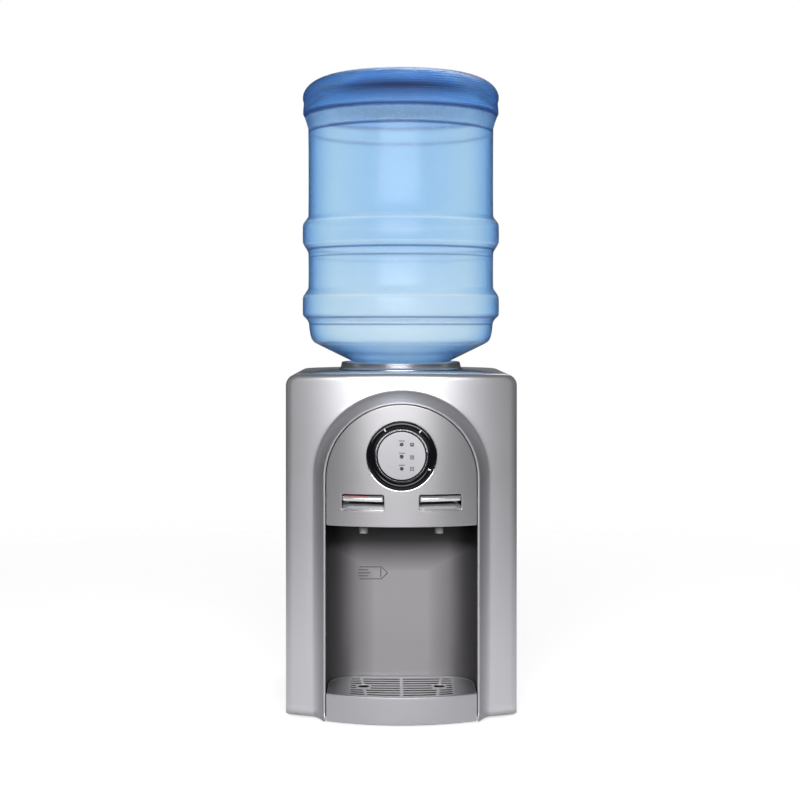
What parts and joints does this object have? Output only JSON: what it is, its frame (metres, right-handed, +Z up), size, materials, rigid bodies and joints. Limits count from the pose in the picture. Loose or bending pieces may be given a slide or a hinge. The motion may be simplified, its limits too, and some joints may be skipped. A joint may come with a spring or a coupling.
{
  "type": "countertop water dispenser",
  "caption": "Countertop water dispenser with an arched dispensing bay, push-lever taps, a slide-out drip tray and an inverted bottle.",
  "frame": {"origin": "centre of the bounding box's underside, on the surface the feet stand on", "axes": "+Z up along the bottle, -Y out of the front where the taps are, +X to the viewer's right when facing the front"},
  "size_m": [0.3, 0.336, 0.8475],
  "materials": {
    "silver_moulding": "fine metallic silver paint, satin gloss",
    "grey_surround": "metallic grey, satin",
    "satin_grey_panel": "satin grey metallic",
    "chrome_trim": "bright plated",
    "gloss_black": "high gloss",
    "pearl_disc": "pearl silver, satin",
    "printed_marks": "printed",
    "lamp_lenses": "clear tinted: red, amber and green",
    "circuit_board": "solder resist",
    "bay_grey": "fine grain",
    "dark_plastic": "fine grain",
    "rubber_black": "matte",
    "painted_steel": "satin powder coat",
    "rear_steel": "satin powder coat",
    "silver_cover": "metallic silver, satin",
    "steel": "plain",
    "grey_seat": "satin",
    "silicone": "milky",
    "white_plastic": "fine grain",
    "stainless": "drawn",
    "foam": "beaded foam",
    "aluminium": "as extruded",
    "ceramic_white": "ceramic",
    "black_plastic": "fine grain",
    "insulation": "wool wrap",
    "brass_band": "dull",
    "tap_white": "translucent white",
    "silicone_red": "soft",
    "silicone_blue": "soft",
    "lever_silver": "satin silver",
    "marker_red": "gloss",
    "grille_grey": "satin grey metallic",
    "rocker_red": "gloss",
    "rocker_green": "gloss",
    "blue_bottle": "clear blue polycarbonate",
    "cap_blue": "soft"
  },
  "bodies": {
    "cabinet": {"front_panel": "silver_moulding", "arch_surround": "grey_surround", "control_panel": "satin_grey_panel", "badge_bezel": "chrome_trim", "badge_ring": "gloss_black", "badge_disc": "pearl_disc", "badge_icons": "printed_marks", "badge_lamps": "lamp_lenses", "indicator_board": "circuit_board", "bay_liner": "bay_grey", "base_pan": "dark_plastic", "rubber_feet": "rubber_black", "side_panel_left": "painted_steel", "side_panel_right": "painted_steel", "rear_panel": "rear_steel", "top_cover": "silver_cover", "panel_screws": "steel", "bottle_seat": "grey_seat", "seat_gasket": "silicone", "probe_tube": "white_plastic", "cold_tank": "stainless", "tank_baffle": "white_plastic", "foam_shell": "foam", "cold_block": "aluminium", "peltier_module": "ceramic_white", "heat_sink": "aluminium", "fan_frame": "black_plastic", "hot_tank": "stainless", "hot_tank_jacket": "insulation", "heater_band": "brass_band", "hot_tank_thermostats": "black_plastic", "water_pipes": "silicone", "power_board": "circuit_board", "hot_tap_body": "tap_white", "cold_tap_body": "tap_white", "hot_tap_spring": "steel", "cold_tap_spring": "steel", "lever_pins": "steel", "lever_scoops": "lever_silver", "switch_housings": "black_plastic", "cord_gland": "rubber_black"},
    "hot_lever": {"hot_lever": "lever_silver", "hot_lever_marker": "marker_red"},
    "cold_lever": {"cold_lever": "lever_silver"},
    "hot_valve": {"hot_tap_valve": "silicone_red"},
    "cold_valve": {"cold_tap_valve": "silicone_blue"},
    "drip_tray": {"drip_tray": "silver_moulding"},
    "drip_grille": {"drip_grille": "grille_grey"},
    "bottle": {"bottle_neck": "blue_bottle", "bottle_cone": "blue_bottle", "bottle_shoulder": "blue_bottle", "bottle_wall_lower": "blue_bottle", "bottle_wall_upper": "blue_bottle", "bottle_base": "blue_bottle", "bottle_cap": "cap_blue", "cap_plug": "white_plastic"},
    "fan_rotor": {"fan_rotor": "black_plastic"},
    "heating_rocker": {"heating_switch": "rocker_red"},
    "cooling_rocker": {"cooling_switch": "rocker_green"},
    "drain_plug": {"drain_plug": "rubber_black"}
  },
  "joints": [
    {"name": "hot_lever_press", "type": "hinge", "parent": "cabinet", "child": "hot_lever", "pos_m": [-0.049, -0.1185, 0.288], "axis": [1, 0, 0], "range_deg": [0, 10], "stiffness_Nm_per_rad": 0.5, "springref_deg": -8.59},
    {"name": "hot_valve_lift", "type": "slide", "parent": "cabinet", "child": "hot_valve", "axis": [0, 0, 1], "range_m": [0, 0.0026], "deforming": ["hot_tap_spring"]},
    {"name": "cold_lever_press", "type": "hinge", "parent": "cabinet", "child": "cold_lever", "pos_m": [0.049, -0.1185, 0.288], "axis": [1, 0, 0], "range_deg": [0, 10], "stiffness_Nm_per_rad": 0.5, "springref_deg": -8.59},
    {"name": "cold_valve_lift", "type": "slide", "parent": "cabinet", "child": "cold_valve", "axis": [0, 0, 1], "range_m": [0, 0.0026], "deforming": ["cold_tap_spring"]},
    {"name": "drip_tray_slide", "type": "slide", "parent": "cabinet", "child": "drip_tray", "axis": [0, -1, 0], "range_m": [0, 0.12]},
    {"name": "grille_lift", "type": "slide", "parent": "drip_tray", "child": "drip_grille", "axis": [0, 0, 1], "range_m": [0, 0.03]},
    {"name": "bottle_lift", "type": "slide", "parent": "cabinet", "child": "bottle", "axis": [0, 0, 1], "range_m": [0, 0.12]},
    {"name": "fan_spin", "type": "hinge", "parent": "cabinet", "child": "fan_rotor", "pos_m": [0, 0.1445, 0.318], "axis": [0, 1, 0], "continuous": true},
    {"name": "heating_rocker_tip", "type": "hinge", "parent": "cabinet", "child": "heating_rocker", "pos_m": [0.078, 0.158, 0.3887], "axis": [1, 0, 0], "range_deg": [-16, 0]},
    {"name": "cooling_rocker_tip", "type": "hinge", "parent": "cabinet", "child": "cooling_rocker", "pos_m": [0.106, 0.158, 0.3887], "axis": [1, 0, 0], "range_deg": [-16, 0]},
    {"name": "drain_plug_pull", "type": "slide", "parent": "cabinet", "child": "drain_plug", "axis": [0, 1, 0], "range_m": [0, 0.025]}
  ],
  "couplings": [
    {"joint": "hot_valve_lift", "follows": "hot_lever_press", "m_per_rad": 0.0145},
    {"joint": "cold_valve_lift", "follows": "cold_lever_press", "m_per_rad": 0.0145}
  ]
}
